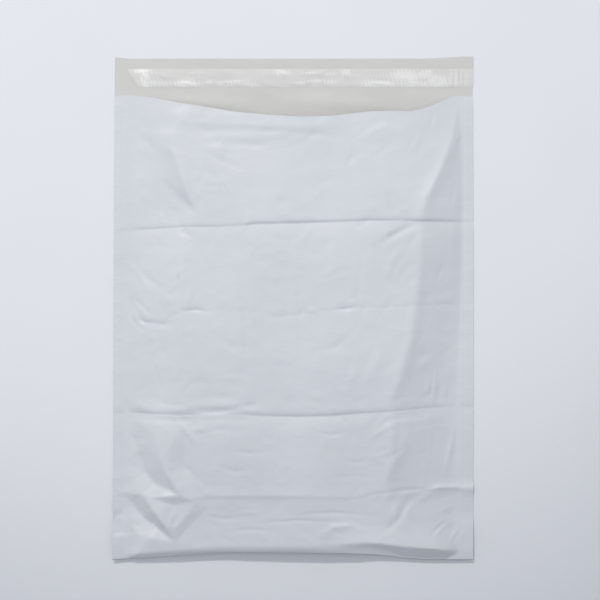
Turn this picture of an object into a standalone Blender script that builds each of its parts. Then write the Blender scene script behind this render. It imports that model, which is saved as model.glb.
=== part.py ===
# Poly mailer bag, empty and unsealed, lying on its back panel with the flap opened out flat.
# One web of film is folded across the bottom, fused down both sides, and left open at the
# flap. A stripe of hot-melt glue crosses the flap under a peel-off release liner.
# Metres, +Z up. X runs across the bag and +Y from the bottom fold to the flap's edge.

import bmesh
import bpy
import numpy as np

# Film and bag, as cut and folded
FILM = 0.00006  # thickness of the co-extruded film
BAG_WIDTH = 0.400
POCKET_LENGTH = 0.512  # bottom fold to the mouth's corners
FLAP_LENGTH = 0.042  # mouth's corners to the flap's free edge
WELD_WIDTH = 0.0105  # fused strip down each side

# The air left between the panels
PUFF = 0.0155  # highest the front panel rises over the back one
BOTTOM_RISE = 0.0105  # height just inside the bottom fold
BOTTOM_CURL = 0.017  # length over which the front panel rounds down to the fold
MOUTH_RISE = 0.0095  # height of the front panel's lip at the middle of the mouth
MOUTH_DIP = 0.024  # how far the middle of the lip hangs back from its corners
BOTTOM_BOW = 0.007  # how far the middle of the bottom fold is drawn in
BOW_FADE = 0.060  # and how far up the bag that bow reaches
LEFT_SHOULDER = 0.070  # from the left weld to where the panel is at full height

# The right shoulder widens down the bag: height up the bag, then width of the slope
RIGHT_SHOULDER = ((0.02, 0.040), (0.07, 0.045), (0.16, 0.085), (0.30, 0.062), (0.40, 0.055), (0.49, 0.022))

# Creases across the front panel, from having been packed folded in four: how far up from the
# bottom fold they cross the left weld, how much further up they reach the right weld, how high
# the ridge stands (a valley is negative) and how far the panel bends on each side.
CREASES = (
    {"up": 0.073, "climb": 0.006, "height": 0.0016, "reach": 0.010},
    {"up": 0.161, "climb": 0.008, "height": -0.0026, "reach": 0.010},
    {"up": 0.266, "climb": 0.012, "height": -0.0009, "reach": 0.008},
    {"up": 0.363, "climb": 0.010, "height": -0.0030, "reach": 0.010},
    {"up": 0.458, "climb": -0.004, "height": 0.0012, "reach": 0.008},
)

# Short folds that fan out of the lower left corner: from one point to another, as distances
# from the left edge and up from the bottom fold, with height and reach as above.
CORNER_FOLDS = (
    {"start": (0.016, 0.073), "end": (0.072, 0.018), "height": -0.0036, "reach": 0.013},
    {"start": (0.046, 0.118), "end": (0.078, 0.074), "height": -0.0020, "reach": 0.011},
    {"start": (0.078, 0.070), "end": (0.072, 0.020), "height": 0.0024, "reach": 0.014},
    {"start": (0.004, 0.050), "end": (0.030, 0.058), "height": 0.0016, "reach": 0.009},
)

# Glue stripe and release liner on the inside of the flap
CLEARANCE = 0.0003  # between the film, the glue and the liner
GLUE_WIDTH = 0.014
GLUE_THICKNESS = 0.0001
LINER_WIDTH = 0.0205
LINER_THICKNESS = 0.00005
LINER_FROM_EDGE = 0.0125  # flap's free edge to the liner
LINER_LEFT_INSET = 0.015  # the liner stops short of the left edge
LINER_RIGHT_INSET = 0.0005
LINER_SLANT = 0.007  # its left end is torn off at a slant
LINER_COCKLE = 0.0006  # height of the wrinkles that run across it
COCKLE_PITCH = 0.028  # from one of them to the next

# Mesh density
COLUMN_SPACING = 0.0145
ROW_SPACING = 0.017
CURL_ROWS = 5
FLAP_ROWS = 3
LINER_STEP = 0.007

HALF_WIDTH = BAG_WIDTH / 2
WELD_LINE = HALF_WIDTH - WELD_WIDTH
BOTTOM_Y = -(POCKET_LENGTH + FLAP_LENGTH) / 2
MOUTH_Y = BOTTOM_Y + POCKET_LENGTH
FLAP_Y = MOUTH_Y + FLAP_LENGTH


def clear_scene():
    for item in list(bpy.data.objects):
        bpy.data.objects.remove(item, do_unlink=True)


def principled(name, colour, roughness, alpha=1.0):
    made = bpy.data.materials.new(name)
    made.use_nodes = True
    shader = made.node_tree.nodes["Principled BSDF"]
    shader.inputs["Base Color"].default_value = (*colour, 1.0)
    shader.inputs["Roughness"].default_value = roughness
    shader.inputs["Metallic"].default_value = 0.0
    shader.inputs["Alpha"].default_value = alpha
    made.diffuse_color = (*colour, alpha)
    return made


def add_object(name, mesh_builder, material, collection):
    """Turns a finished bmesh into a named object with its own material."""
    mesh = bpy.data.meshes.new(name)
    mesh_builder.to_mesh(mesh)
    mesh_builder.free()
    made = bpy.data.objects.new(name, mesh)
    mesh.materials.append(material)
    collection.objects.link(made)
    return made


def ease(share):
    """Rises from 0 to 1 as a film does away from a seam: steep at first, then level."""
    share = np.clip(share, 0.0, 1.0)
    return 1.0 - (1.0 - share) ** 2


def fold_at(distance, height, reach):
    """A sharp crease: full height on its line, nothing beyond its reach."""
    return height * np.clip(1.0 - distance / reach, 0.0, 1.0)


def distance_to_line(x, up, start, end):
    """Distance of a point from the straight fold between two others."""
    run = np.subtract(end, start)
    share = np.dot((x - start[0], up - start[1]), run) / np.dot(run, run)
    nearest = np.add(start, np.clip(share, 0.0, 1.0) * run)
    return np.hypot(x - nearest[0], up - nearest[1])


def column_places():
    """Places across the bag: both edges, both weld lines, and even steps between those."""
    steps = round(2 * WELD_LINE / COLUMN_SPACING)
    inner = np.linspace(-WELD_LINE, WELD_LINE, steps + 1)
    return np.concatenate(([-HALF_WIDTH], inner, [HALF_WIDTH]))


def bottom_bow(x, up):
    """How far a point is drawn up the bag by the bow in the bottom fold."""
    across = np.clip(1.0 - (x / WELD_LINE) ** 2, 0.0, 1.0)
    return BOTTOM_BOW * across * np.clip(1.0 - up / BOW_FADE, 0.0, 1.0)


def mouth_dip(x):
    """How far the lip hangs back from the mouth's corners."""
    return MOUTH_DIP * np.clip(1.0 - (x / WELD_LINE) ** 2, 0.0, 1.0) ** 1.3


def crease_line(crease, x):
    """How far up the bag a crease lies at this place across it."""
    return crease["up"] + crease["climb"] * np.clip(x / BAG_WIDTH + 0.5, 0.0, 1.0)


def row_lines(columns, lip):
    """Lines across the bag, as distances up from the bottom fold, one array for each row.

    Rows lie on each crease and on both sides of it, crowd together in the bottom curl and
    are filled in evenly elsewhere. With lip they end on the dipped lip, and otherwise
    straight across the mouth's corners.
    """
    mouth = POCKET_LENGTH - lip * mouth_dip(columns)
    curl = [np.full_like(columns, BOTTOM_CURL * (step / CURL_ROWS) ** 2) for step in range(CURL_ROWS + 1)]
    guides = []
    for crease in CREASES:
        for side in (-1, 0, 1):
            guides.append(crease_line(crease, columns) + side * crease["reach"])
    rows = curl
    for guide in sorted(guides, key=np.mean) + [mouth]:
        gap = POCKET_LENGTH if guide is mouth else np.mean(guide)
        steps = max(1, round((gap - np.mean(rows[-1])) / ROW_SPACING))
        last = rows[-1]
        rows += [last + (guide - last) * step / steps for step in range(1, steps + 1)]
    return rows


def right_shoulder(up):
    return np.interp(up, [point[0] for point in RIGHT_SHOULDER], [point[1] for point in RIGHT_SHOULDER])


def front_rise(x, up):
    """Height of the front panel's film over the back panel's at a place in the pocket."""
    if abs(x) >= WELD_LINE or up <= 0.0:
        return 0.0
    lip = POCKET_LENGTH - mouth_dip(x)
    rounding = np.clip(1.0 - up / BOTTOM_CURL, 0.0, 1.0)
    curl = np.sqrt(1.0 - rounding**2)
    level = np.interp(up, (BOTTOM_CURL, 0.45 * lip, 0.75 * lip, lip), (BOTTOM_RISE, PUFF, PUFF, MOUTH_RISE))
    left = ease((x + WELD_LINE) / LEFT_SHOULDER)
    right = ease((WELD_LINE - x) / right_shoulder(up))
    folds = sum(fold_at(abs(up - crease_line(c, x)), c["height"], c["reach"]) for c in CREASES)
    from_edge = x + HALF_WIDTH
    for fold in CORNER_FOLDS:
        away = distance_to_line(from_edge, up, fold["start"], fold["end"])
        folds += fold_at(away, fold["height"], fold["reach"])
    return curl * left * right * max(level + folds, 4 * FILM)


def folded_web():
    """The film as one thin surface: back panel and flap flat, front panel folded over it.

    The web starts as a flat grid. Each vertex is carried to its folded place, the front
    panel's own side strips are dropped, and its edges are fused to the back panel's.
    """
    columns = column_places()
    back_rows = row_lines(columns, lip=False)
    front_rows = row_lines(columns, lip=True)
    pocket = len(back_rows) - 1
    across = len(columns) - 1
    along = 2 * pocket + FLAP_ROWS
    builder = bmesh.new()
    grid = bmesh.ops.create_grid(builder, x_segments=across, y_segments=along, size=1.0)
    fused = []
    for vert in grid["verts"]:
        i = round((vert.co.x + 1) / 2 * across)
        j = round((vert.co.y + 1) / 2 * along)
        x = columns[i]
        row = j - FLAP_ROWS - pocket
        if row > 0:
            up = front_rows[row][i]
            rise = front_rise(x, up)
            y = BOTTOM_Y + up + bottom_bow(x, up)
        else:
            rise = 0.0
            beyond = max(0, -row - pocket)
            up = back_rows[min(-row, pocket)][i]
            y = BOTTOM_Y + up + bottom_bow(x, up) + beyond * FLAP_LENGTH / FLAP_ROWS
        vert.co = (x, y, FILM / 2 + rise)
        if abs(x) > WELD_LINE - FILM and abs(row) <= pocket:
            fused.append(vert)
            vert.tag = row > 0
    strips = [face for face in builder.faces if all(v.tag for v in face.verts)]
    bmesh.ops.delete(builder, geom=strips, context="FACES")
    fused = [vert for vert in fused if vert.is_valid]
    bmesh.ops.remove_doubles(builder, verts=fused, dist=FILM / 4)
    bmesh.ops.triangulate(builder, faces=builder.faces)
    return builder


def bag_film(collection):
    film = add_object("bag_film", folded_web(), principled("white_film", (0.70, 0.73, 0.77), 0.38), collection)
    wall = film.modifiers.new("film thickness", "SOLIDIFY")
    wall.solidify_mode = "NON_MANIFOLD"
    wall.nonmanifold_thickness_mode = "CONSTRAINTS"
    wall.nonmanifold_boundary_mode = "NONE"
    wall.nonmanifold_merge_threshold = 0.0
    wall.thickness = FILM
    wall.offset = 0.0
    return film


def glue_stripe(collection):
    """The hot-melt stripe under the liner, a low flat bar."""
    left = -HALF_WIDTH + LINER_LEFT_INSET + LINER_SLANT
    right = HALF_WIDTH - LINER_RIGHT_INSET - (LINER_WIDTH - GLUE_WIDTH) / 2
    middle = FLAP_Y - LINER_FROM_EDGE - LINER_WIDTH / 2
    builder = bmesh.new()
    bmesh.ops.create_cube(builder, size=1.0)
    bmesh.ops.scale(builder, vec=(right - left, GLUE_WIDTH, GLUE_THICKNESS), verts=builder.verts)
    height = FILM + CLEARANCE + GLUE_THICKNESS / 2
    bmesh.ops.translate(builder, vec=((left + right) / 2, middle, height), verts=builder.verts)
    return add_object("glue_stripe", builder, principled("hot_melt_glue", (0.80, 0.78, 0.70), 0.30), collection)


def cockle(x, across):
    """Height of the liner's wrinkles: slanting waves that die out at its two edges."""
    phase = 2 * np.pi * (x + 0.6 * across * LINER_WIDTH) / COCKLE_PITCH
    return LINER_COCKLE * (0.5 + 0.5 * np.sin(phase)) * (0.35 + 0.65 * np.sin(np.pi * across))


def release_liner(collection):
    """A narrow strip of clear film over the glue, cockled, its left end at a slant."""
    left = -HALF_WIDTH + LINER_LEFT_INSET
    right = HALF_WIDTH - LINER_RIGHT_INSET
    low = FLAP_Y - LINER_FROM_EDGE - LINER_WIDTH
    level = FILM + CLEARANCE + GLUE_THICKNESS + CLEARANCE + LINER_THICKNESS / 2
    along = round((right - left) / LINER_STEP)
    rows = 4
    builder = bmesh.new()
    grid = bmesh.ops.create_grid(builder, x_segments=along, y_segments=rows, size=1.0)
    for vert in grid["verts"]:
        across = (vert.co.y + 1) / 2
        start = left + LINER_SLANT * across
        x = start + (vert.co.x + 1) / 2 * (right - start)
        vert.co = (x, low + across * LINER_WIDTH, level + cockle(x, across))
    bmesh.ops.triangulate(builder, faces=builder.faces)
    liner = add_object("release_liner", builder, principled("clear_liner", (0.82, 0.83, 0.83), 0.15, 0.6), collection)
    wall = liner.modifiers.new("liner thickness", "SOLIDIFY")
    wall.thickness = LINER_THICKNESS
    wall.offset = 0.0
    return liner


clear_scene()
parts = bpy.data.collections.new("poly_mailer_bag")
bpy.context.scene.collection.children.link(parts)
bag_film(parts)
glue_stripe(parts)
release_liner(parts)
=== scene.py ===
import bmesh
import bpy
import numpy as np
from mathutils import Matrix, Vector, geometry


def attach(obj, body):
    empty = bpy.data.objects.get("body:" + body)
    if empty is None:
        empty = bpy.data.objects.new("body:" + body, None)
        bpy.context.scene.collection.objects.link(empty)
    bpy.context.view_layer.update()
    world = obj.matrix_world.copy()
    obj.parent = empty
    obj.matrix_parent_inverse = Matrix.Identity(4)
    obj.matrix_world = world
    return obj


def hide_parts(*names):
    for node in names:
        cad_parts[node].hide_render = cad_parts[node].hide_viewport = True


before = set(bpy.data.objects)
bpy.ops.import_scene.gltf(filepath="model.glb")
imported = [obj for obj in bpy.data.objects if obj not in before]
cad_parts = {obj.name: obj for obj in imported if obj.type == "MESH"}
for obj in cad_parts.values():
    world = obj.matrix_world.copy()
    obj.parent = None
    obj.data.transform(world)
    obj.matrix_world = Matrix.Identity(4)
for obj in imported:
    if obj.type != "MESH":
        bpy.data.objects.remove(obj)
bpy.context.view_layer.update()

# Poly mailer bag lying empty and open on a pale table, seen from straight above.
# Its sizes are in millimetres: x across from the middle line, up from the bottom fold.
mm = 0.001


# sRGB hex to the linear colour that a shader takes
def linearColour(text):
    parts = [int(text[i:i + 2], 16) / 255 for i in (1, 3, 5)]
    return tuple(c / 12.92 if c <= 0.04045 else ((c + 0.055) / 1.055) ** 2.4 for c in parts) + (1.0,)


# One node with its settings, its fixed inputs and the sockets linked into it
def addNode(tree, kind, settings=(), inputs=()):
    node = tree.nodes.new(kind)
    for name, value in dict(settings).items():
        setattr(node, name, value)
    for name, value in dict(inputs).items():
        if isinstance(value, bpy.types.NodeSocket):
            tree.links.new(value, node.inputs[name])
        else:
            node.inputs[name].default_value = value
    return node


def newMaterial(name, shader):
    material = bpy.data.materials.new(name)
    material.use_nodes = True
    tree = material.node_tree
    principled = tree.nodes["Principled BSDF"]
    for socket, value in shader.items():
        principled.inputs[socket].default_value = value
    return material, tree, principled


# Noise on object coordinates, with the real size of its grains across, along and through
def noiseOf(tree, grain, detail=2.0, roughness=0.5):
    coords = addNode(tree, "ShaderNodeTexCoord")
    sized = addNode(tree, "ShaderNodeMapping", inputs={
        "Vector": coords.outputs["Object"], "Scale": tuple(1 / (side * mm) for side in grain)})
    return addNode(tree, "ShaderNodeTexNoise", inputs={
        "Vector": sized.outputs["Vector"], "Scale": 1.0, "Detail": detail, "Roughness": roughness})


noiseSpan = (0.3, 0.7)  # a noise seldom leaves this part of its range


# Colour between two hex values by a noise, and the same for a plain number
def mixedColour(tree, share, low, high):
    ramp = addNode(tree, "ShaderNodeValToRGB", inputs={"Fac": share})
    for stop, place, colour in zip(ramp.color_ramp.elements, noiseSpan, (low, high)):
        stop.position, stop.color = place, linearColour(colour)
    return ramp.outputs["Color"]


def ranged(tree, share, low, high):
    node = addNode(tree, "ShaderNodeMapRange", inputs={
        "Value": share, "From Min": noiseSpan[0], "From Max": noiseSpan[1], "To Min": low, "To Max": high})
    return node.outputs["Result"]


# Relief of a depth in millimetres, on top of the relief under it
def bumpOf(tree, height, depth, under=None):
    node = addNode(tree, "ShaderNodeBump", inputs={
        "Height": height, "Distance": depth * mm, "Strength": 1.0})
    if under is not None:
        tree.links.new(under, node.inputs["Normal"])
    return node.outputs["Normal"]


print("stage: materials")

# Co-extruded low density polyethylene, white outside: a soft satin that takes the light in
# broad patches, with the faint streaks that the blown tube leaves along the web.
outside = {
    "light": "#D6DAE0", "dark": "#D2D6DC", "patch": (70, 90, 70), "satin": (0.36, 0.48),
    "streak": (5, 900, 900), "streakDepth": 0.02,  # die lines, drawn deeper than real ones, to show
    "crinkle": (11, 8, 11), "crinkleDepth": 0.14,  # soft dents from handling, about a centimetre apart
    "facet": (34, 22, 34), "facetDepth": 0.5, "facetBend": 0.5,
    "peel": (1.6, 1.6, 1.6), "peelDepth": 0.012,  # the film's own grain, drawn coarser than it is, to show
    "weldLine": 189.5,  # the bag's half width less its weld
    "grooveHalf": 1.3, "grooveDepth": 0.06,
    "rib": (9, 3.2, 9), "ribDepth": 0.2, "ribFade": 2.0,  # some 3 mm apart along the weld
}
filmWhite, tree, shader = newMaterial("blown polyethylene film, white", {
    "IOR": 1.51, "Specular IOR Level": 0.5})
patches = noiseOf(tree, outside["patch"], detail=3.0).outputs["Fac"]
streaks = noiseOf(tree, outside["streak"], detail=3.0, roughness=0.7).outputs["Fac"]
crinkles = noiseOf(tree, outside["crinkle"], detail=4.0, roughness=0.45).outputs["Fac"]
peel = noiseOf(tree, outside["peel"]).outputs["Fac"]
tree.links.new(ranged(tree, crinkles, *outside["satin"]), shader.inputs["Roughness"])
relief = bumpOf(tree, streaks, outside["streakDepth"])
relief = bumpOf(tree, crinkles, outside["crinkleDepth"], under=relief)
relief = bumpOf(tree, peel, outside["peelDepth"], under=relief)
# Weak creases from handling, as the edges between flat cells with bent sides
bend = noiseOf(tree, outside["facet"]).outputs["Color"]
sized = addNode(tree, "ShaderNodeMapping", inputs={
    "Vector": addNode(tree, "ShaderNodeTexCoord").outputs["Object"],
    "Scale": tuple(1 / (side * mm) for side in outside["facet"])})
bentBy = addNode(tree, "ShaderNodeVectorMath", {"operation": "SCALE"}, {
    0: bend, "Scale": outside["facetBend"]})
bent = addNode(tree, "ShaderNodeVectorMath", {"operation": "ADD"}, {
    0: sized.outputs[0], 1: bentBy.outputs[0]})
cells = addNode(tree, "ShaderNodeTexVoronoi", inputs={"Vector": bent.outputs[0], "Scale": 1.0})
relief = bumpOf(tree, cells.outputs["Distance"], outside["facetDepth"], under=relief)
# The seal bar's mark: a narrow groove where the strip starts, and small ribs across it
place = addNode(tree, "ShaderNodeSeparateXYZ", inputs={
    "Vector": addNode(tree, "ShaderNodeTexCoord").outputs["Object"]})
aside = addNode(tree, "ShaderNodeMath", {"operation": "ABSOLUTE"}, {0: place.outputs["X"]})
beyond = addNode(tree, "ShaderNodeMath", {"operation": "SUBTRACT"}, {
    0: aside.outputs[0], 1: outside["weldLine"] * mm})
fromLine = addNode(tree, "ShaderNodeMath", {"operation": "ABSOLUTE"}, {0: beyond.outputs[0]})
groove = addNode(tree, "ShaderNodeMapRange", inputs={
    "Value": fromLine.outputs[0], "From Max": outside["grooveHalf"] * mm, "To Min": 0.0, "To Max": 1.0})
inStrip = addNode(tree, "ShaderNodeMapRange", inputs={
    "Value": beyond.outputs[0], "From Max": outside["ribFade"] * mm, "To Min": 0.0, "To Max": 1.0})
ribs = addNode(tree, "ShaderNodeMath", {"operation": "MULTIPLY"}, {
    0: noiseOf(tree, outside["rib"], detail=1.0).outputs["Fac"], 1: inStrip.outputs["Result"]})
tree.links.new(mixedColour(tree, patches, outside["dark"], outside["light"]), shader.inputs["Base Color"])
relief = bumpOf(tree, groove.outputs["Result"], outside["grooveDepth"], under=relief)
relief = bumpOf(tree, ribs.outputs[0], outside["ribDepth"], under=relief)
tree.links.new(relief, shader.inputs["Normal"])

# The same film's inner layer is tinted grey to hide what is inside: duller and warmer.
inside = {
    "light": "#D0D0CE", "dark": "#CBCBC9", "patch": (60, 30, 60), "satin": (0.42, 0.55),
    "crinkle": (16, 7, 16), "crinkleDepth": 0.16,
}
filmGrey, tree, shader = newMaterial("blown polyethylene film, grey inner layer", {
    "IOR": 1.51, "Specular IOR Level": 0.5})
patches = noiseOf(tree, inside["patch"], detail=3.0).outputs["Fac"]
crinkles = noiseOf(tree, inside["crinkle"], detail=4.0).outputs["Fac"]
tree.links.new(mixedColour(tree, patches, inside["dark"], inside["light"]), shader.inputs["Base Color"])
tree.links.new(ranged(tree, crinkles, *inside["satin"]), shader.inputs["Roughness"])
tree.links.new(bumpOf(tree, crinkles, inside["crinkleDepth"]), shader.inputs["Normal"])

# Hot-melt pressure-sensitive glue, laid as a stripe: wet-looking and a little yellow.
glue = {
    "light": "#DADAD7", "dark": "#D2D2CE", "patch": (9, 4, 9), "shine": (0.26, 0.38),
    "ripple": (2.5, 2.5, 2.5), "rippleDepth": 0.05,  # where the melt set as it was laid
}
glueMelt, tree, shader = newMaterial("hot-melt glue, laid stripe", {"IOR": 1.48})
patches = noiseOf(tree, glue["patch"]).outputs["Fac"]
ripples = noiseOf(tree, glue["ripple"]).outputs["Fac"]
tree.links.new(mixedColour(tree, patches, glue["dark"], glue["light"]), shader.inputs["Base Color"])
tree.links.new(ranged(tree, patches, *glue["shine"]), shader.inputs["Roughness"])
tree.links.new(bumpOf(tree, ripples, glue["rippleDepth"]), shader.inputs["Normal"])

# Release liner of siliconed polyethylene, drawn opaque in the two colours that the eye gets: the
# grey film seen through it where it hugs the glue, and milky where it has let go, in blisters
# and in rows of small ticks. The milky places where it has let go are partly painted highlight
# from its glossy wrinkles.
liner = {
    "seeThrough": "#D2D2D0", "milky": "#F1F1F0", "blister": (22, 7, 22), "blisterShare": 0.22,
    "ripple": (5, 12, 5), "rippleDepth": 0.06,
}
linerFilm, tree, shader = newMaterial("siliconed polyethylene liner, translucent", {
    "Roughness": 0.3, "IOR": 1.5})
blisters = noiseOf(tree, liner["blister"]).outputs["Fac"]
ripples = noiseOf(tree, liner["ripple"]).outputs["Fac"]
# The milky share: the let-go places, partly painted highlight, and the blisters
looseAndGlinting = addNode(tree, "ShaderNodeAttribute", {"attribute_name": "letGoAndGlints"})
milky = addNode(tree, "ShaderNodeMath", {"operation": "ADD", "use_clamp": True}, {
    0: looseAndGlinting.outputs["Fac"], 1: ranged(tree, blisters, 0.0, liner["blisterShare"])})
mixed = addNode(tree, "ShaderNodeMix", {"data_type": "RGBA"}, {
    "Factor": milky.outputs[0], 6: linearColour(liner["seeThrough"]), 7: linearColour(liner["milky"])})
tree.links.new(mixed.outputs[2], shader.inputs["Base Color"])
tree.links.new(bumpOf(tree, ripples, liner["rippleDepth"]), shader.inputs["Normal"])

print("stage: film form")

bag = {
    "film": 0.06,
    "width": 400.0,
    "weld": 10.5,  # fused strip down each side
    "pocket": 512.0,  # bottom fold to the mouth's corners
    "flap": 42.0,
    "bottomY": -277.0,  # the bottom fold's corners, in the frame
    "leftEdge": ((0, 0.0), (300, 0.8), (554, 2.2)),  # how far the left edge steps in, by height up the bag
    "rightEdge": ((0, 1.3), (60, 0.6), (300, 0.2), (505, 1.2), (515, 1.2), (554, 0.0)),
    "flapEdge": ((-200, 1.5), (-185, 0.0), (150, 0.0), (188, 2.3), (200, 2.3)),  # beyond its length
    "bowFade": 60.0,  # the bow of the bottom fold and its lift fade out over this height
    "panelGap": 0.15,  # the front panel's least height above the back one
    # the mesh, closer at the lower corners and where the film curls up from the bottom fold
    "fineStep": 1.75, "coarseStep": 3.2, "fineUpTo": 140.0, "fineBeside": (-98.0, 150.0),
    "curlRows": 14, "curlRowsTo": 24.0, "curlRowsPower": 1.3,
    "besideCrease": (-3.0, -1.2, 0.0, 1.2, 3.0),
    "weldColumns": 3, "flapRows": 9,
    # the back panel's rows, closer where a fold crosses a weld
    "backRows": (0, 3, 6, 10, 13, 17, 21, 24.5, 28, 32, 38, 43.5, 47, 51, 55, 58, 62, 66, 70, 74, 78,
                 82, 86, 95, 108, 122, 140, 154, 158, 160, 162, 165, 169, 173, 178, 190, 206, 222,
                 240, 254, 260, 263, 266, 270, 276, 280, 283, 287, 296, 306, 320, 336, 350, 356, 360,
                 363, 366, 369, 373, 377, 384, 395, 410, 424, 438, 450, 454, 458, 462, 467, 476, 484,
                 490, 495, 500, 504, 508, 512),
}

# Height of the front panel's film along the bag, before folds: up, then height
panelLevel = ((17, 10.5), (60, 12.2), (150, 13.8), (230, 15.4), (340, 15.4), (420, 13.4), (480, 10.4),
              (512, 9.3))

# Width of the slope beside each weld, by height up the bag
leftSlope = ((0, 12), (16, 26), (40, 44), (120, 54), (170, 58), (250, 62), (330, 68), (385, 82), (410, 71),
             (429, 65), (450, 58), (468, 54), (485, 66), (512, 90))
rightSlope = ((0, 14), (16, 28), (40, 66), (65, 88), (90, 86), (131, 80), (176, 82), (198, 75), (242, 63),
              (286, 56), (331, 49), (369, 48), (397, 43), (430, 28), (464, 14), (494, 7), (512, 5))
# Above 1 the slope is steepest at its upper end
leftCurve = ((0, 1.15), (200, 1.2), (330, 1.5), (400, 2.2), (460, 2.1), (490, 1.3), (512, 1.2))
rightCurve = ((0, 1.3), (40, 1.6), (65, 1.9), (180, 1.8), (240, 1.4), (300, 1.3), (390, 1.05), (512, 1.0))
# The panel is highest left of its middle and drops off to both sides, most at the right of the
# lip: by these shares of its height, at the distance half from its top
crown = {
    "top": -30.0, "half": 190.0, "leftDrop": 0.36,
    "rightDrop": ((0, 0.08), (390, 0.08), (440, 0.35), (512, 0.72)),  # by height up the bag
}

# How far the lip hangs back from the mouth's corners, across the bag
lipDip = ((-200, 0), (-181, -1.5), (-159, 1), (-126, 8), (-92, 13.5), (-65, 18), (-26, 21.5), (7, 23.5),
          (41, 22.5), (63, 20), (85, 17.5), (107, 17), (131, 17), (146, 13.5), (163, 6.5), (174, 1.5),
          (182, -0.5), (200, 0))

# How far the bottom fold is drawn up, and how high it stands off the table
bottomBow = ((-200, -0.8), (-181, 0.5), (-171, 0.9), (-146, 2.6), (-115, 5.2), (-92, 7.4), (-70, 8.5),
             (7, 8), (60, 7), (85, 6), (108, 3.6), (124, 1.2), (147, -0.6), (200, -0.8))
bottomLift = ((-200, 4.4), (-175, 3.9), (-146, 5), (-120, 6.6), (-92, 8.4), (-50, 10.2), (30, 11.2),
              (70, 10), (95, 7), (125, 4.6), (150, 4.2), (200, 4))

# The front panel rises from the fold over curlLength, after a strip that lies flat on the back
# one. The power shares out the steepness: 1 is a straight slope, 2 rounds over.
curlLength = ((-200, 4), (-165, 8), (-145, 9), (-120, 9.5), (-60, 9), (20, 11), (55, 14), (80, 15.5),
              (96, 15.5), (110, 13.5), (130, 10.5), (150, 9.5), (175, 6.5), (185, 4.5), (200, 4))
curlPower = ((-200, 1.8), (40, 2.2), (80, 1.1), (200, 1.1))
flatStrip = ((-200, 1), (-190, 0.3), (-130, 0), (100, 0), (120, 0.8), (132, 2.8), (147, 4), (163, 3.6),
             (180, 4.6), (188, 5), (200, 5))

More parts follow.
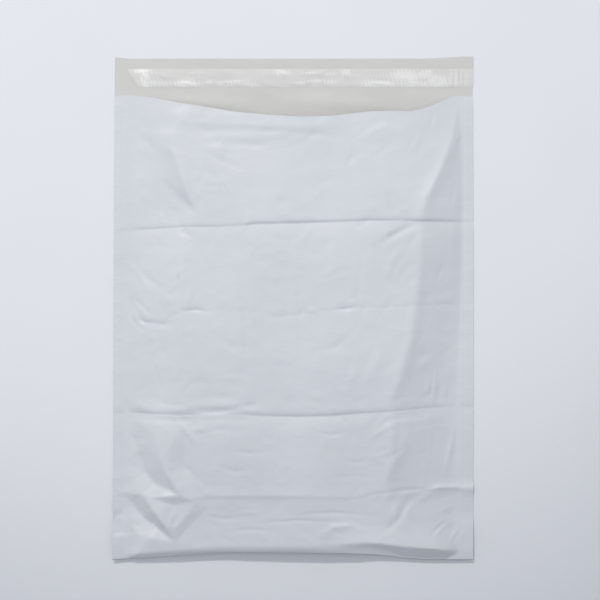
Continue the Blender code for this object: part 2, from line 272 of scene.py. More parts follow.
# Folds in the front panel: how far each bends the film on the left and on the right of its way,
# then its path by (x, up, height of the film there), where a valley is negative. The mesh's rows
# follow the first four.
folds = (
    # across the bag, from having lain folded in four
    ((2.8, 15), (-199, 363, -0.4), (-159, 365, -0.9), (-121, 367, -0.9), (-87, 367, -0.7), (-59, 368, -0.6),
     (-41, 370, -1.3), (7, 371, -1.5), (65, 373, -1.1), (90, 374, -1.2), (118, 374, -0.7), (135, 373, -1.5),
     (160, 373, -1.5), (178, 373, -1.0), (199, 373, -0.6)),
    ((4, 14), (-199, 162, -0.5), (-176, 162, -0.8), (-159, 161, -1.2), (-130, 160, -1.1), (-87, 161, -0.8),
     (-59, 161, -0.6), (-35, 159, -1.1), (7, 158, -1.5), (43, 159, -1.5), (65, 161, -1.3), (100, 163, -1.0),
     (145, 167, -0.9), (199, 169, -0.5)),
    ((5, 9), (-199, 266, -0.3), (-170, 264, -0.35), (-142, 262, -0.3), (-123, 275, -0.3), (-79, 275, -0.15),
     (-35, 273, -0.2), (7, 270, -0.2), (46, 276, -0.25), (85, 278, -0.15), (118, 279, -0.3),
     (151, 281, -0.25), (199, 283, -0.15)),
    ((12, 5), (-112, 69, 0.2), (-90, 71, 0.8), (-30, 71, 0.8), (7, 71, 0.7), (63, 70, 0.3), (102, 72, 0.5),
     (135, 75, 0.8), (163, 79, 1.2), (199, 78, 0.9)),
    # beside the second of those
    ((2.7, 4.1), (-130, 157, 0), (-118, 154, -1.38), (-103, 152, 0)),
    ((4.8, 4.1), (-122, 170, 0), (-87, 172, 0.85), (-59, 168, 0.85), (-35, 163, 0)),
    ((4.1, 3.4), (100, 172, 0), (125, 175, 0.57), (150, 178, 0)),
    ((2, 2.7), (95, 156, 0), (125, 158, -0.92), (155, 162, -0.92), (190, 165, 0)),
    ((2, 2.7), (100, 150, 0), (130, 153, 0.97), (160, 157, 0.97), (185, 160, 0)),
    ((2, 2.7), (-188, 155, 0), (-150, 154, -1.38), (-120, 155, -1.03), (-70, 156, -0.85), (-40, 155, 0)),
    # upper left: the slope's own folds
    ((16, 14), (-142, 466, 0), (-128, 437, 1.2), (-121, 414, 1.5), (-108, 384, 0)),
    ((5.4, 6.8), (-146, 414, 0), (-131, 400, -0.92), (-118, 391, -1.03), (-107, 382, 0)),
    ((4.1, 4.8), (-194, 424, 0), (-187, 397, -0.69), (-182, 371, 0)),
    ((2.7, 2.7), (-183, 482, 0), (-176, 470, -0.78), (-170, 462, 0)),
    ((2.7, 2.7), (-174, 484, 0), (-168, 474, 0.78), (-160, 462, 0)),
    ((2.7, 3.4), (-165, 470, 0), (-160, 458, -0.78), (-150, 452, 0)),
    ((3.4, 3.4), (-178, 462, 0), (-168, 450, 0.78), (-154, 446, 0)),
    ((2, 4.1), (-121, 365, 0), (-115, 359, -1.15), (-108, 356, 0)),
    # behind the lip
    ((12, 14), (-150, 494, 0), (-120, 490, 0.5), (-87, 486, 0.9), (-40, 480, 1.0), (7, 478, 1.0),
     (40, 480, 0.7), (63, 478, 0)),
    ((6.1, 6.1), (-150, 476, 0), (-92, 473, -0.57), (-41, 475, -0.57), (30, 469, -0.8), (61, 462, 0)),
    ((2.7, 4.8), (-102, 457, 0), (-87, 461, -0.69), (-64, 459, -0.8), (-40, 458, -0.69), (-10, 460, 0)),
    ((3.4, 3.4), (-112, 452, 0), (-95, 453, 0.57), (-78, 457, 0.46), (-60, 453, 0)),
    ((2.7, 4.1), (-50, 459, 0), (-28, 452, -0.46), (-6, 456, -0.46), (15, 460, 0)),
    ((3.4, 4.1), (62, 461, 0), (78, 472, -0.57), (100, 484, 0)),
    ((3.4, 4.1), (122, 470, 0), (136, 458, -0.46), (150, 452, 0)),
    ((2.7, 3.4), (176, 464, 0), (186, 461, -0.69), (197, 458, 0)),
    # upper right: the ridge along the top of the slope
    ((14, 12), (192, 505, 0), (183, 466, 0.7), (170, 445, 0.98), (158, 420, 1.26), (146, 397, 1.26),
     (136, 372, 0.42)),
    ((2, 6.8), (96, 350, 0), (110, 359, -2.53), (126, 367, -1.61), (142, 372, 0)),
    ((4.1, 5.4), (95, 371, 0), (106, 360, 0.8), (118, 352, 0)),
    # middle and lower right slope
    ((12, 12), (142, 330, 0), (138, 286, 1.02), (131, 242, 1.19), (119, 198, 0.85), (104, 172, 0)),
    ((2, 2), (151, 205, 0), (150, 190, 1.03), (149, 172, 0)),
    ((2, 2), (157, 207, 0), (156, 188, 1.15), (155, 171, 0)),
    ((2, 2), (163, 204, 0), (162, 188, -0.92), (160, 171, 0)),
    ((2, 2.7), (171, 200, 0), (169, 186, 0.69), (167, 172, 0)),
    ((12, 9), (128, 150, 0), (118, 120, 1.26), (108, 100, 0.98), (101, 82, 0)),
    ((4.1, 4.8), (60, 67, 0), (100, 74, -0.97), (132, 77, -1.29), (160, 76, 0)),
    ((4, 9), (134, 70, 0), (124, 58, -1.9), (116, 43, -2.1), (100, 27, 0)),
    ((6, 14), (26, 20, 0), (45, 34, 1.7), (62, 36, 1.7), (84, 26, 0)),
    ((3.4, 2.7), (91, 59, 0), (97, 70, -0.97), (102, 74, 0)),
    ((22, 12), (40, 12, 0), (70, 14, 2.8), (110, 15, 5.04), (150, 14, 5.6), (172, 12, 3.5), (188, 10, 0)),
    # fan under the second crease, at the right
    ((3.4, 4.1), (87, 140, 0), (103, 153, -1.12), (129, 160, 0)),
    ((4.1, 3.4), (81, 131, 0), (100, 145, 0.97), (118, 153, 0)),
    ((9, 14), (105, 162, 0), (109, 126, 1.26), (107, 87, 0)),
    ((5.4, 5.4), (180, 153, 0), (174, 120, 1.44), (167, 87, 0)),
    ((4.1, 4.1), (52, 115, 0), (68, 107, -0.6), (87, 111, 0)),
    ((3.4, 4.8), (19, 142, 0), (41, 138, -0.6), (63, 142, 0)),
    # lower right corner, drawn in towards the weld
    ((2, 2), (148, 24, 0), (158, 33, -1.44), (170, 44, 0)),
    ((2, 2), (152, 22, 0), (162, 31, 1.29), (173, 41, 0)),
    ((2, 2), (157, 34, 0), (164, 41, 0.97), (170, 46, 0)),
    ((2, 2), (172, 19, 0), (180, 29, 1.44), (187, 38, 0)),
    ((2, 2), (176, 18, 0), (184, 28, -1.29), (190, 37, 0)),
    ((2, 2), (182, 20, 0), (189, 30, 1.29), (197, 38, 0)),
    ((14, 3), (165, 50, 0), (178, 46, -1.96), (200, 44, -2.24)),
    ((5, 12), (147, 75, 0), (160, 79, 1.68), (178, 80, 2.24), (200, 78, 1.96)),
    # lower middle
    ((3.4, 5.4), (-6, 48, 0), (41, 52, -0.74), (96, 47, 0)),
    ((3.4, 4.8), (-48, 38, 0), (7, 42, -0.74), (74, 38, 0)),
    ((2.7, 4.1), (-81, 26, 0), (-48, 30, -0.74), (-20, 28, 0)),
    ((3.4, 4.8), (-98, 48, 0), (-76, 43, -0.69), (-48, 47, 0)),
    ((4.8, 4.1), (-126, 153, 0), (-117, 140, 1.03), (-106, 127, 0)),
    ((3.4, 4.8), (-98, 142, 0), (-79, 145, -0.69), (-54, 140, 0)),
    ((4.1, 4.8), (-76, 122, 0), (-48, 118, -0.6), (-20, 120, 0)),
    ((4.1, 4.8), (-92, 107, 0), (-65, 98, -0.6), (-42, 100, 0)),
    ((3.4, 4.1), (-196, 150, 0), (-188, 131, -0.69), (-183, 116, 0)),
    # above the second crease
    ((3.4, 3.4), (-194, 181, 0), (-185, 173, -0.69), (-170, 169, 0)),
    ((2.7, 4.1), (-159, 176, 0), (-137, 171, -0.85), (-114, 169, 0)),
    ((3.4, 4.1), (-103, 182, 0), (-70, 180, -0.57), (-35, 175, 0)),
    ((3.4, 4.1), (7, 181, 0), (30, 173, -0.46), (57, 171, 0)),
    ((9, 12), (52, 181, 0), (63, 198, 0.8), (69, 222, 0)),
    ((14, 10), (100, 247, 0), (89, 214, 1.0), (74, 184, 0)),
    ((5.4, 5.4), (27, 229, 0), (47, 235, -0.8), (74, 258, 0)),
    # middle
    ((2.7, 4.8), (44, 276, 0), (58, 277, -1.15), (76, 279, 0)),
    ((3.4, 2.7), (50, 287, 0), (65, 283, 0.69), (80, 287, 0)),
    ((4.8, 4.1), (-48, 366, 0), (-47, 336, 0.57), (-44, 306, 0)),
    ((4.1, 4.1), (-35, 362, 0), (-20, 353, -0.69), (-4, 358, 0)),
    ((4.8, 4.8), (-39, 346, 0), (-26, 336, 0.46), (-9, 342, 0)),
    ((3.4, 4.1), (7, 357, 0), (30, 362, -0.57), (57, 357, 0)),
    ((5.4, 5.4), (-92, 253, 0), (-70, 237, -0.57), (-37, 231, 0)),
    ((12, 10), (-114, 237, 0), (-98, 209, 0.6), (-87, 181, 0)),
    ((6.1, 6.1), (-48, 286, 0), (-46, 231, 0.34), (-45, 176, 0)),
    # upper right slope
    ((5.4, 6.1), (100, 306, 0), (109, 331, 1.03), (123, 348, 0)),
    ((4.1, 4.1), (114, 303, 0), (123, 320, -0.92), (134, 329, 0)),
    ((3.4, 3.4), (124, 342, 0), (132, 353, -0.8), (138, 362, 0)),
    ((8, 18), (74, 463, 0), (87, 474, 0.7), (102, 478, 0.9), (118, 473, 0.7), (129, 461, 0)),
    # upper left of the panel
    ((5.4, 6.1), (-99, 459, 0), (-87, 442, -0.8), (-59, 433, -0.57), (-37, 424, 0)),
    ((6.1, 6.1), (-70, 450, 0), (-54, 430, 0.69), (-48, 408, 0)),
    ((4.8, 4.1), (-159, 362, 0), (-148, 347, -0.69), (-130, 340, 0)),
    # middle left slope
    ((4.1, 4.8), (-182, 326, 0), (-159, 309, -1), (-126, 286, 0)),
    ((4.1, 3.4), (-132, 335, 0), (-128, 309, -1), (-126, 284, 0)),
    ((3.4, 4.8), (-189, 306, 0), (-179, 281, -1.15), (-165, 262, -1.15), (-142, 259, -0.71),
     (-123, 262, 0)),
    ((4.8, 4.8), (-188, 331, 0), (-170, 314, 1), (-157, 286, 0)),
    ((2.7, 3.4), (-198, 303, 0), (-190, 286, -1), (-185, 266, 0)),
    # middle left
    ((4.1, 4.1), (-170, 297, 0), (-179, 275, -0.71), (-190, 262, 0)),
    ((6.1, 6.1), (-160, 240, 0), (-150, 200, -0.46), (-140, 175, 0)),
    # thin folds beside the left weld and on the left slope
    ((2.5, 4), (-196, 422, 0), (-192, 417, -1.0), (-188, 395, -1.2), (-181, 372, 0)),
    ((2.5, 3), (-191, 503, 0), (-188, 486, -0.7), (-184, 475, 0)),
    ((3, 4), (-153, 422, 0), (-137, 412, -0.9), (-120, 398, -1.1), (-107, 384, 0)),
    ((2.5, 3), (-131, 364, 0), (-121, 361, -1.3), (-111, 358, 0)),
    # thin folds along the lip
    ((3, 3), (-131, 491, 0), (-107, 487, -0.7), (-71, 485, -0.7), (-43, 482, -0.7), (6, 479, 0)),
    ((3, 4), (-92, 469, 0), (-57, 467, 0.6), (-20, 467, 0.5), (6, 466, 0)),
    ((2.5, 3), (-92, 459, 0), (-76, 458, -0.6), (-68, 455, -0.7), (-54, 460, -0.6), (-36, 453, 0)),
    # thin folds in the middle left
    ((2.2, 3), (-189, 295, 0), (-182, 276, -1.12), (-177, 263, -1.25), (-169, 256, -1.12), (-159, 252, 0)),
    ((2.2, 3), (-181, 298, 0), (-175, 288, -1), (-169, 281, -1.12), (-160, 273, -1), (-153, 270, 0)),
    ((2, 3), (-175, 267, 0), (-167, 263, -0.88), (-156, 258, 0)),
    ((2, 3), (-152, 260, 0), (-140, 260.5, -0.88), (-129, 260, 0)),
    ((2.6, 4), (-124, 274, 0), (-107, 276, -1.1), (-90, 273, 0)),
    ((2.4, 4), (-36, 272, 0), (-16, 268, -0.8), (4, 270, 0)),
    ((3, 4), (-126, 335, 0), (-127, 314, 0.88), (-134, 294, 0)),
    ((2.5, 3), (-151, 287, 0), (-145, 276, -0.88), (-140, 267, 0)),
    ((2.5, 2.5), (-163, 236, 0), (-160, 245, 0.75), (-152, 246, 0.62), (-149, 236, 0.62), (-156, 229, 0.62),
     (-163, 233, 0)),
    ((3, 3), (-127, 178, 0), (-119, 186, -0.6), (-112, 196, -0.6), (-98, 197, 0)),
    # the dark wedge over the second crease, and the lines beside it
    ((5, 2.5), (-118, 164, 0), (-96, 163, -1.65), (-76, 163.5, -1.95), (-50, 169, -1.5), (-30, 172, 0)),
    ((2.5, 2.5), (-150, 167, 0), (-128, 166, 1.05), (-112, 167, 0)),
    ((2.5, 3), (-140, 151, 0), (-110, 149, -1.05), (-84, 151, 0)),
    ((2.5, 3), (-128, 146, 0), (-104, 144, 0.9), (-80, 146, 0)),
    # faint folds down the middle of the panel
    ((3.5, 7), (-60, 356, 0), (-59, 310, 0.6), (-58, 250, 0.6), (-57, 196, 0)),
    ((3.5, 7), (1, 350, 0), (2, 300, 0.5), (2, 240, 0.5), (3, 196, 0)),
    ((6, 4), (74, 345, 0), (73, 320, -0.6), (70, 290, -0.5), (66, 262, 0)),
)

# The star of folds in the lower left corner: points (x, up, height of the film there) and the
# creases between them; the film is flat from crease to crease
starPoints = {
    "edgeTop": (-197, 74, 0.32), "bandTopLow": (-180, 61.5, -2.55), "bandMidLow": (-166, 46, -3.5),
    "bandEndLow": (-149, 34, -2.87), "bandTopHigh": (-167, 71.5, 3.3), "bandMidHigh": (-153.5, 53.5, 5.1),
    "bandEndHigh": (-141, 36.5, 3.66), "foot": (-130, 17, 0.48), "lensLeft": (-156.5, 68.5, 3.02),
    "lensTop": (-125, 71.5, 4.14), "lensRight": (-108, 65, 2.55), "lensLow": (-132, 61, 0.64),
    "sailTop": (-117.5, 49, 2.87), "sailLow": (-129, 34.5, 3.02), "sailFoot": (-117, 32.5, 0),
    "sailRight": (-94, 58.5, 0.48), "outTopLeft": (-190, 178, 0), "outTopRight": (-138, 178, 0),
    "upperTopLeft": (-180, 160, -0.96), "upperTopRight": (-150, 160, 2.23), "upperLowA": (-179, 137, -1.5),
    "upperLowB": (-163, 96, -2.2), "upperLowC": (-153.5, 84, -1.9), "upperLowD": (-135.5, 77, 0.64),
    "upperHighA": (-152.5, 137, 4.14), "upperHighB": (-146, 111, 4.78), "upperHighC": (-141, 98, 4.14),
    "upperHighD": (-130, 80, 4.14), "rightOfUpper": (-119, 101, -0.8), "rightFar": (-104, 86, -0.48),
    "notchHigh": (-201, 51, 2.7), "notchLow": (-201, 43.5, -0.48), "shelfLeft": (-196, 28, -0.96),
    "shelfRight": (-173.5, 28, 0.64), "shelfUnder": (-196, 24.5, 1.44), "cornerLow": (-177, 13, 0),
    "cornerEdge": (-201, 10, 0), "cornerTop": (-201, 110, 0), "shelfMiddle": (-180, 42, 0.8),
    "leftOfUpper": (-178, 88, 0.2), "leftOfFoot": (-152, 22, 1.27), "outTop": (-120, 150, 0),
    "outRight": (-85, 105, 0), "outRightLow": (-78, 40, 0), "outFoot": (-105, 14, 0),
    "outLeftTop": (-201, 150, 0), "outFootLeft": (-150, 9, 0),
}
starCreases = (
    ("edgeTop", "bandTopLow", "bandMidLow", "bandEndLow", "foot"),
    ("edgeTop", "bandTopHigh", "bandMidHigh", "bandEndHigh", "foot"),
    ("bandTopHigh", "lensLeft", "lensTop", "lensRight"), ("lensLeft", "lensLow", "lensRight"),
    ("lensRight", "sailTop", "sailLow", "foot"), ("lensRight", "sailRight"), ("sailLow", "sailFoot"),
    ("upperTopLeft", "upperLowA", "upperLowB", "upperLowC", "upperLowD", "lensTop"),
    ("upperTopRight", "upperHighA", "upperHighB", "upperHighC", "upperHighD", "lensTop"),
    ("notchHigh", "bandTopLow", "notchLow"), ("shelfLeft", "shelfRight"), ("shelfUnder", "shelfRight"),
    ("shelfUnder", "cornerLow"), ("bandTopLow", "shelfMiddle", "shelfRight"),
)

# Small wrinkles all over, from handling: the seed keeps them the same on every run
wrinkles = {
    "seed": 11, "count": 300, "from": (-180, 12), "to": (180, 500),
    "length": (8, 38), "height": (0.25, 0.75), "reach": (2.6, 7.5),
}

# Slow unevenness of the air-filled panel: height, then how slow across and up, and a shift
swells = ((0.70, 31, 47, 0.6), (0.50, 19, -71, 2.1), (0.30, 83, 23, 4.0))

# How the parts of the front panel's height meet
meeting = {
    "shoulder": 1.15,  # rounds the slopes' upper ends
    "fullAfter": 3.0,  # folds and wrinkles are full after one part in three of the slope
    "leastFold": 0.7,  # share of a named fold's height that is left at the weld
    "liftTaken": 0.6,  # share of the bottom fold's lift that the panel's own height takes in
    "leastGap": 0.1,  # above the lifted back panel
}

# How the fused strips stand where folds cross them, and the small puckers along them
seam = {
    "stand": 0.5, "follow": 0.7,  # height of their own, and their share of the folds' height
    "inward": 12.0, "mouthGap": 2.0, "mouthFade": 10.0, "foldFade": 4.0,
    "pucker": 0.16, "pitch": 3.3, "pitchDrift": (0.8, 41), "patches": (57, 90, 1.2),
    "within": 1.4,  # the front film takes the highest of the places this near
    "frontLevel": 2.5,  # its middle, in thicknesses of the film
}

# Slow waves of the grey film at the mouth: where, how high, how slow across and up
mouthWave = {"middle": -8.0, "half": 16.0, "height": (0.6, 0.5), "slow": (26, 9), "weldFade": 20.0}


def smooth(share):
    share = np.clip(share, 0.0, 1.0)
    return share * share * (3 - 2 * share)


def along(table, places):
    spots = np.array(table, dtype=float)
    return np.interp(places, spots[:, 0], spots[:, 1])


foldEase = 1.6  # above 1 a fold is sharp at its path and eases out to its reach


# Height that the folds add at each place
def foldHeight(x, up, folded):
    total = np.zeros_like(x)
    for (leftReach, rightReach), *points in folded:
        path = np.array(points, dtype=float)
        nearest, height, side = np.full_like(x, np.inf), np.zeros_like(x), np.zeros_like(x)
        for start, end in zip(path[:-1], path[1:]):
            run = end[:2] - start[:2]
            share = np.clip(((x - start[0]) * run[0] + (up - start[1]) * run[1]) / run.dot(run), 0.0, 1.0)
            dx, dy = x - start[0] - share * run[0], up - start[1] - share * run[1]
            away = np.hypot(dx, dy)
            closer = away < nearest
            nearest = np.where(closer, away, nearest)
            height = np.where(closer, start[2] + share * (end[2] - start[2]), height)
            side = np.where(closer, run[0] * dy - run[1] * dx, side)
        reach = np.where(side > 0, leftReach, rightReach)
        total += height * np.clip(1 - nearest / reach, 0.0, 1.0) ** foldEase
    return total


# Height of a net of flat facets between creases, nothing outside it
def facetHeight(x, up, points, creases):
    names = list(points)
    spots = [Vector(points[name][:2]) for name in names]
    edges = [(names.index(a), names.index(b)) for line in creases for a, b in zip(line[:-1], line[1:])]
    corners, _, faces, origins, _, _ = geometry.delaunay_2d_cdt(spots, edges, [], 0, 1e-4)
    heights = [points[names[origin[0]]][2] for origin in origins]
    total = np.zeros_like(x)
    for face in faces:
        (ax, ay), (bx, by), (cx, cy) = (corners[i] for i in face)
        area = (bx - ax) * (cy - ay) - (cx - ax) * (by - ay)
        second = ((x - ax) * (cy - ay) - (cx - ax) * (up - ay)) / area
        third = ((bx - ax) * (up - ay) - (x - ax) * (by - ay)) / area
        first = 1 - second - third
        within = (first >= 0) & (second >= 0) & (third >= 0)
        height = first * heights[face[0]] + second * heights[face[1]] + third * heights[face[2]]
        total = np.where(within, height, total)
    return total


def smallWrinkles(x, up):
    draw = np.random.default_rng(wrinkles["seed"])
    made = []
    for _ in range(wrinkles["count"]):
        middle = draw.uniform(wrinkles["from"], wrinkles["to"])
        turn, length = draw.uniform(0, np.pi), draw.uniform(*wrinkles["length"])
        half = 0.5 * length * np.array((np.cos(turn), np.sin(turn)))
        height = draw.choice((-1, 1)) * draw.uniform(*wrinkles["height"])
        reach = draw.uniform(*wrinkles["reach"], size=2)
        made.append((reach, (*(middle - half), 0), (*middle, height), (*(middle + half), 0)))
    return foldHeight(x, up, made)


def slowSwell(x, up):
    return sum(height * np.sin(x / across + up / upwards + shift)
               for height, across, upwards, shift in swells)


weldLine = bag["width"] / 2 - bag["weld"]


def foldLift(x, up):
    return along(bottomLift, x) * smooth(1 - up / bag["bowFade"])


def namedFolds(x, up):
    return foldHeight(x, up, folds) + facetHeight(x, up, starPoints, starCreases)


# The fused strips rise where folds cross them and draw up into small puckers, and the back panel
# beside them follows. Both films take it from the back panel's rows, the front one as the highest
# of the places nearby, so that they stay together and the front one stays on top.
def stripLift(columns, up):
    levels = np.array(bag["backRows"], dtype=float)
    x, level = np.meshgrid(columns, levels)
    drift, driftLength = seam["pitchDrift"]
    wave = 0.5 + 0.5 * np.sin(level / seam["pitch"] + drift * np.sin(level / driftLength))
    patchUp, patchAcross, shift = seam["patches"]
    pucker = seam["pucker"] * wave * smooth(np.sin(level / patchUp + x / patchAcross + shift))
    inward = smooth(1 - (weldLine - np.abs(x)) / seam["inward"])
    ends = smooth((bag["pocket"] - seam["mouthGap"] - level) / seam["mouthFade"])
    ends *= smooth(level / seam["foldFade"])
    lifts = (pucker + np.maximum(seam["stand"] + seam["follow"] * namedFolds(x, level), 0)) * inward * ends
    lifts += foldLift(x, level)
    stood = np.array([[np.interp(up[:, i] + side, levels, lifts[:, i]) for i in range(len(columns))]
                      for side in (-seam["within"], 0.0, seam["within"])])
    return stood[1].T, stood.max(axis=0).T


# Height of the front panel, from the slopes beside the welds, the curl at the bottom fold, the
# crown, the folds and the wrinkles
def frontHeight(x, up):
    lip = bag["pocket"] - along(lipDip, x)
    fromLeft = np.clip((x + weldLine) / along(leftSlope, up), 0, 1)
    fromRight = np.clip((weldLine - x) / along(rightSlope, up), 0, 1)
    left = 1 - (1 - fromLeft ** along(leftCurve, up)) ** meeting["shoulder"]
    right = 1 - (1 - fromRight ** along(rightCurve, up)) ** meeting["shoulder"]
    curl = 1 - np.clip(1 - (up - along(flatStrip, x)) / along(curlLength, x), 0, 1) ** along(curlPower, x)
    curl *= up > along(flatStrip, x)
    body = along(panelLevel, up * bag["pocket"] / lip) * left * right
    drop = np.where(x < crown["top"], crown["leftDrop"], along(crown["rightDrop"], up))
    body *= 1 - drop * ((x - crown["top"]) / crown["half"]) ** 2
    nearWeld = smooth(np.minimum(fromLeft * meeting["fullAfter"], fromRight * meeting["fullAfter"]))
    detail = namedFolds(x, up) * np.maximum(nearWeld, meeting["leastFold"])
    detail += (smallWrinkles(x, up) + slowSwell(x, up)) * nearWeld
    lifted = foldLift(x, up)
    body = np.maximum(body - meeting["liftTaken"] * lifted * (body > 0), 0)
    return np.maximum(lifted + body * curl + detail * curl, lifted + meeting["leastGap"])


def stepped(start, end, step):
    return np.linspace(start, end, round((end - start) / step) + 1)


# Lines across the bag as distances up from the bottom fold, one array per row; they follow
# the main folds and crowd beside them
def rowsUpTo(lip, columns):
    shares = np.arange(bag["curlRows"] + 1) / bag["curlRows"]
    rows = [np.full_like(columns, bag["curlRowsTo"] * share ** bag["curlRowsPower"]) for share in shares]
    creases = [folds[number][1:] for number in (3, 1, 2, 0)]  # from the bottom up
    guides = [along([point[:2] for point in crease], columns) for crease in creases]
    guides.insert(1, np.full_like(columns, bag["fineUpTo"]))
    for guide in guides + [lip]:
        stops = [guide] if guide is lip else [guide + side for side in bag["besideCrease"]]
        for stop in stops:
            step = bag["fineStep"] if np.mean(stop) < bag["fineUpTo"] else bag["coarseStep"]
            steps = max(1, round(float(np.mean(stop - rows[-1])) / step))
            last = rows[-1]
            rows += [last + (stop - last) * step / steps for step in range(1, steps + 1)]
    return rows


# The whole web as one surface: the flap and back panel below, folded over at the bottom into
# the front panel, whose side strips lie on the back panel's where the two are fused
def foldedWeb():
    left, right = bag["fineBeside"]
    inner = np.concatenate((
        stepped(-weldLine, left, bag["fineStep"]), stepped(left, right, bag["coarseStep"])[1:],
        stepped(right, weldLine, bag["fineStep"])[1:]))
    seamColumns = np.linspace(weldLine, bag["width"] / 2, bag["weldColumns"] + 1)[1:]
    columns = np.concatenate((-seamColumns[::-1], inner, seamColumns))
    front = np.array(rowsUpTo(bag["pocket"] - along(lipDip, columns), columns))
    back = np.array(bag["backRows"], dtype=float)[:, None] + 0 * columns
    flapShare = np.linspace(0, 1, bag["flapRows"] + 1)[1:, None]
    flap = bag["pocket"] + flapShare * (bag["flap"] + along(bag["flapEdge"], columns))
    turned = np.concatenate((flap[::-1], back[::-1]))  # flap's edge first, bottom fold last
    up = np.concatenate((turned, front[1:]))
    x = np.broadcast_to(columns, up.shape).copy()
    isFront = np.arange(len(up))[:, None] >= len(turned)
    welded = np.abs(x) > weldLine - 0.01  # from the column on the weld's own line outwards
    z = np.full_like(up, bag["film"] / 2)
    backLift, frontLift = stripLift(columns, up)
    below = backLift + flapHeight(x, up)
    z += np.where(isFront, np.maximum(frontHeight(x, up), below + bag["panelGap"]), below)
    z = np.where(isFront & welded, bag["film"] * seam["frontLevel"] + frontLift, z)
    y = bag["bottomY"] + up + along(bottomBow, x) * np.clip(1 - up / bag["bowFade"], 0, 1)
    side = np.abs(x) / (bag["width"] / 2)
    x = x + np.where(x < 0, along(bag["leftEdge"], up), -along(bag["rightEdge"], up)) * side ** 3
    builder = bmesh.new()
    rowCount, columnCount = up.shape
    bmesh.ops.create_grid(builder, x_segments=columnCount - 1, y_segments=rowCount - 1, size=1.0)
    for vert in builder.verts:
        i = round((vert.co.x + 1) / 2 * (columnCount - 1))
        j = round((vert.co.y + 1) / 2 * (rowCount - 1))
        vert.co = (x[j, i] * mm, y[j, i] * mm, z[j, i] * mm)
    return builder


# The flap and the back panel lie flat apart from slow waves at the mouth
def flapHeight(x, up):
    beyond = up - bag["pocket"]
    level, swing = mouthWave["height"]
    across, upwards = mouthWave["slow"]
    wave = smooth(1 - np.abs(beyond - mouthWave["middle"]) / mouthWave["half"])
    wave *= level + swing * np.sin(x / across + up / upwards)
    fromWeld = np.clip((weldLine - np.abs(x)) / mouthWave["weldFade"], 0, 1)
    return np.maximum(wave * fromWeld, 0)


# A film's cut edge stays sharp, so that its side doesn't bend the light on its face
def newPiece(name, builder, *materials):
    for edge in builder.edges:
        edge.smooth = not edge.is_boundary
    mesh = bpy.data.meshes.new(name)
    builder.to_mesh(mesh)
    builder.free()
    for material in materials:
        mesh.materials.append(material)
    for face in mesh.polygons:
        face.use_smooth = True
    piece = bpy.data.objects.new(name, mesh)
    bpy.context.scene.collection.objects.link(piece)
    return piece


def giveThickness(piece, thickness, innerMaterial=0):
    wall = piece.modifiers.new("thickness", "SOLIDIFY")
    wall.thickness = thickness * mm
    wall.offset = 0.0
    wall.material_offset = innerMaterial


film = newPiece("mailerFilm", foldedWeb(), filmWhite, filmGrey)
giveThickness(film, bag["film"], innerMaterial=1)
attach(film, "root")
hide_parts("bag_film")

print("stage: glue and liner")

strip = {
    "left": -185.0, "right": 199.3, "slant": 14.0, "linerWidth": 20.0, "linerFromEdge": 11.5,
    "linerFilm": 0.05, "overFlap": 0.1, "overGlue": 0.22,  # its thickness and its two levels
    "bedFade": 3.5, "edgeShare": 0.25,  # from one level to the other, and what is left of its relief there
    "glueLeft": -176.0, "glueRight": 195.3, "glueSlant": 4.0, "glueWidth": 13.0, "glueFilm": 0.08,
    "glueLevel": 0.12,
    "columns": 520, "rows": 20,
}

# Slow waves all along the liner: height, then how slow along and across, and a shift
linerWaves = ((0.12, 5.1, 7, 0), (0.10, 9.7, -5, 1.7))

# Creases in the liner, given as the panel's folds are, but with up from its lower edge
linerFolds = (
    ((4, 5), (-172, 20, 0.0), (-164, 11, 0.9), (-160, 2, 0.0)),
    ((3, 3), (-150, 17, 0), (-145, 12, 0.4), (-138, 9, 0)),
    ((3, 3), (-131, 6, 0), (-118, 4, 0.6), (-105, 2, 0)),
    ((3, 3), (-128, 16, 0), (-112, 14, 0.5), (-96, 15, 0)),
    ((2.5, 2.5), (-98, 6, 0), (-80, 5, 0.5), (-60, 6, 0.4), (-37, 5, 0)),
    ((4, 4), (-20, 19, 0), (-12, 15, 0.7), (-5, 12, 0)),
    ((3, 3), (0, 13, 0), (20, 15, 0.5), (50, 13, 0)),
    ((3, 3), (2, 4, 0), (24, 6, 0.5), (52, 5, 0)),
    ((3, 4), (55, 19, 0), (58, 14, 0.6), (63, 10, 0)),
    ((4, 3), (79, 7, 0), (95, 3, 0.7), (111, 2, 0)),
    ((5, 8), (112, 19, 0), (122, 10, 1.0), (128, 1, 0)),
    ((5, 5), (141, 2, 0), (150, 10, -0.5), (162, 19, 0)),
    ((5, 6), (150, 18, 0), (160, 9, 0.8), (170, 4, 0)),
    ((3, 3), (176, 20, 0.4), (176, 10, 0.6), (175, 0, 0.4)),
    ((2.5, 2.5), (183, 20, 0.4), (182, 10, 0.5), (183, 0, 0.4)),
    ((2.5, 2.5), (187.5, 20, 0.4), (187, 10, 0.6), (187, 0, 0.4)),
)


# A strip along the flap: a grid laid out between its slanted ends, its height given by lay
def flapStrip(left, right, low, width, slant, lay):
    builder = bmesh.new()
    bmesh.ops.create_grid(builder, x_segments=strip["columns"], y_segments=strip["rows"], size=1.0)
    share = np.array([(vert.co.x + 1, vert.co.y + 1) for vert in builder.verts]) / 2
    start = left + slant * (1 - share[:, 1])
    x = start + share[:, 0] * (right - start)
    across = share[:, 1] * width
    z = lay(x, across)
    for vert, place in zip(builder.verts, zip(x, bag["bottomY"] + low + across, z)):
        vert.co = Vector(place) * mm
    return builder


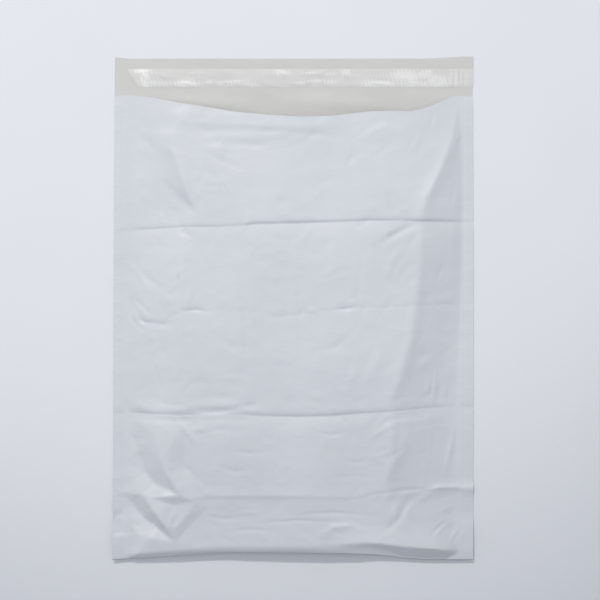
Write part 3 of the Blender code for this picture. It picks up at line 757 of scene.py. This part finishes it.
def linerLay(x, across):
    waves = sum(height * (1 + np.sin(x / slowAlong + across / slowAcross + shift))
                for height, slowAlong, slowAcross, shift in linerWaves)
    fromEdge = smooth(np.minimum(across, strip["linerWidth"] - across) / strip["bedFade"])
    bedded = strip["overFlap"] + (strip["overGlue"] - strip["overFlap"]) * fromEdge
    creases = np.maximum(foldHeight(x, across, linerFolds), -strip["overFlap"])
    return bedded + (waves + creases) * (strip["edgeShare"] + (1 - strip["edgeShare"]) * fromEdge)


def glueLay(x, across):
    return strip["glueLevel"] + 0 * x


linerLow = bag["pocket"] + bag["flap"] - strip["linerFromEdge"] - strip["linerWidth"]
glueLow = linerLow + (strip["linerWidth"] - strip["glueWidth"]) / 2
# Places where the liner has let go of the glue, milky and partly painted highlight from its
# wrinkles: x, up from its lower edge, half sizes, how milky
letGoAndGlints = (
    (-169, 18, 9, 3, 0.9), (-165, 11, 4.5, 6, 0.8), (-163, 3, 3.5, 4, 0.8), (-150, 4, 12, 3, 0.4),
    (-118, 3.5, 14, 3, 0.8), (-94, 5, 5, 1.6, 0.5), (-81, 4, 5, 1.6, 0.5), (-66, 5, 8, 1.7, 0.6),
    (-48, 3, 9, 2, 0.4), (-13, 16, 8, 3, 0.7), (8, 4, 6, 2, 0.5), (24, 6, 7, 2, 0.5), (41, 5, 7, 2, 0.5),
    (20, 15, 6, 1.7, 0.4), (41, 14, 6, 1.7, 0.4), (59, 16, 5, 3, 0.6), (95, 3.5, 17, 3.4, 0.75),
    (124, 12, 15, 7, 0.7), (146, 14, 9, 4, 0.6), (134, 3.5, 17, 3, 0.6), (160, 6, 11, 6, 0.6),
    (149, 16, 5, 3, 0.5), (178, 10, 3, 9, 0.3), (190, 10, 4, 9, 0.25),
)
# How strong those places are drawn, how far their rim fades out, and how ragged it is
letGoAndGlintsLook = {"strength": 0.66, "full": 2.0, "fade": 1.5, "ragged": 0.45}

# Rows of small ticks where the glue's own ribs touch: pitch along and how it drifts, how their
# strength comes and goes, then for each row up from the lower edge, half height and how milky
ticks = {
    "pitch": 3.7, "drift": (0.9, 17), "strength": (0.55, 0.45), "patches": (11, 29), "fade": 1.5,
    "rows": ((4.5, 2.2, 0.26), (14.5, 2.4, 0.20)),
}


# How milky the liner is at each place: the let-go places, partly painted highlight, and the rows of ticks
def letGoAndGlintsShare(x, across):
    share = np.zeros_like(x)
    for middle, height, halfWide, halfHigh, milky in letGoAndGlints:
        away = np.hypot((x - middle) / halfWide, (across - height) / halfHigh)
        away *= 1 + letGoAndGlintsLook["ragged"] * np.sin(0.9 * x + 1.3 * across) * np.sin(0.5 * x - 0.9 * across)
        drawn = smooth(letGoAndGlintsLook["full"] - letGoAndGlintsLook["fade"] * away)
        share = np.maximum(share, letGoAndGlintsLook["strength"] * milky * drawn)
    drift, driftLength = ticks["drift"]
    level, swing = ticks["strength"]
    short, long = ticks["patches"]
    for height, halfHigh, milky in ticks["rows"]:
        wave = np.sin(2 * np.pi * x / ticks["pitch"] + height + drift * np.sin(x / driftLength))
        strength = level + swing * np.sin(x / short + height) * np.sin(x / long + 1)
        fade = smooth(ticks["fade"] - np.abs(across - height) / halfHigh)
        share += milky * strength * smooth(wave) * fade
    return np.clip(share, 0, 1)


glueStripe = newPiece("glueStripe", flapStrip(
    strip["glueLeft"], strip["glueRight"], glueLow, strip["glueWidth"], strip["glueSlant"], glueLay),
    glueMelt)
giveThickness(glueStripe, strip["glueFilm"])
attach(glueStripe, "root")
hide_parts("glue_stripe")

linerStrip = newPiece("releaseLiner", flapStrip(
    strip["left"], strip["right"], linerLow, strip["linerWidth"], strip["slant"], linerLay), linerFilm)
spots = np.array([vert.co for vert in linerStrip.data.vertices]) / mm
shares = letGoAndGlintsShare(spots[:, 0], spots[:, 1] - bag["bottomY"] - linerLow)
letGoAndGlintsMark = linerStrip.data.attributes.new("letGoAndGlints", "FLOAT", "POINT")
letGoAndGlintsMark.data.foreach_set("value", shares.astype(np.float32))
giveThickness(linerStrip, strip["linerFilm"])
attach(linerStrip, "root")
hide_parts("release_liner")

print("stage: table, light and camera")

# Matt paper on a table top
table = {"light": "#E7EAEF", "dark": "#E5E8ED", "grain": (220, 220, 220), "size": 6000.0, "below": 0.05}
tablePaper, tree, shader = newMaterial("matt paper, calendered", {
    "Roughness": 0.9, "Specular IOR Level": 0.2})
fibres = noiseOf(tree, table["grain"]).outputs["Fac"]
tree.links.new(mixedColour(tree, fibres, table["dark"], table["light"]), shader.inputs["Base Color"])
builder = bmesh.new()
bmesh.ops.create_grid(builder, x_segments=2, y_segments=2, size=table["size"] / 2 * mm)
bmesh.ops.translate(builder, verts=builder.verts, vec=(0, 0, -table["below"] * mm))
tableTop = newPiece("tableTop", builder, tablePaper)

# A far window beyond the mouth and to the left, its beam fading towards the bottom fold and its
# slant bringing out the folds, and a wide soft lamp overhead that the flat satin film reflects.
# Places are in metres.
windowBeam = {"at": (-1.10, 3.25, 3.00), "aim": (-0.29, 1.00, 0.0), "radius": 0.20, "power": 482.0,
              "spread": 28.0, "blend": 0.15, "colour": "#FFFCF6"}
ceilingLamp = {"at": (-0.10, 0.20, 2.10), "aim": (0.0, 0.0, 0.0), "size": 1.40, "power": 5.5,
               "colour": "#FBFCFF"}
room = {"colour": "#F4F7FF", "strength": 0.46}


def placeLamp(name, kind, lamp):
    light = bpy.data.lights.new(name, kind)
    light.energy = lamp["power"]
    light.color = linearColour(lamp["colour"])[:3]
    holder = bpy.data.objects.new(name, light)
    holder.location = lamp["at"]
    holder.rotation_euler = (Vector(lamp["aim"]) - Vector(lamp["at"])).to_track_quat("-Z", "Y").to_euler()
    holder.visible_camera = False
    bpy.context.scene.collection.objects.link(holder)
    return light


beam = placeLamp("windowBeam", "SPOT", windowBeam)
beam.shadow_soft_size = windowBeam["radius"]
beam.spot_size = np.radians(windowBeam["spread"])
beam.spot_blend = windowBeam["blend"]
placeLamp("ceilingLamp", "AREA", ceilingLamp).size = ceilingLamp["size"]

world = bpy.data.worlds.new("room")
world.use_nodes = True
background = world.node_tree.nodes["Background"]
background.inputs["Color"].default_value = linearColour(room["colour"])
background.inputs["Strength"].default_value = room["strength"]
bpy.context.scene.world = world
bpy.context.scene.view_settings.view_transform = "Standard"

# Straight above: frame is the width of table that the picture shows
camera = {"lens": 85.0, "sensor": 36.0, "frame": 665.0, "centre": (7.4, 9.4)}
lens = bpy.data.cameras.new("camera")
lens.lens = camera["lens"]
lens.sensor_width = camera["sensor"]
eye = bpy.data.objects.new("camera", lens)
distance = camera["frame"] * camera["lens"] / camera["sensor"] * mm
eye.location = (camera["centre"][0] * mm, camera["centre"][1] * mm, distance)
bpy.context.scene.collection.objects.link(eye)
bpy.context.scene.camera = eye
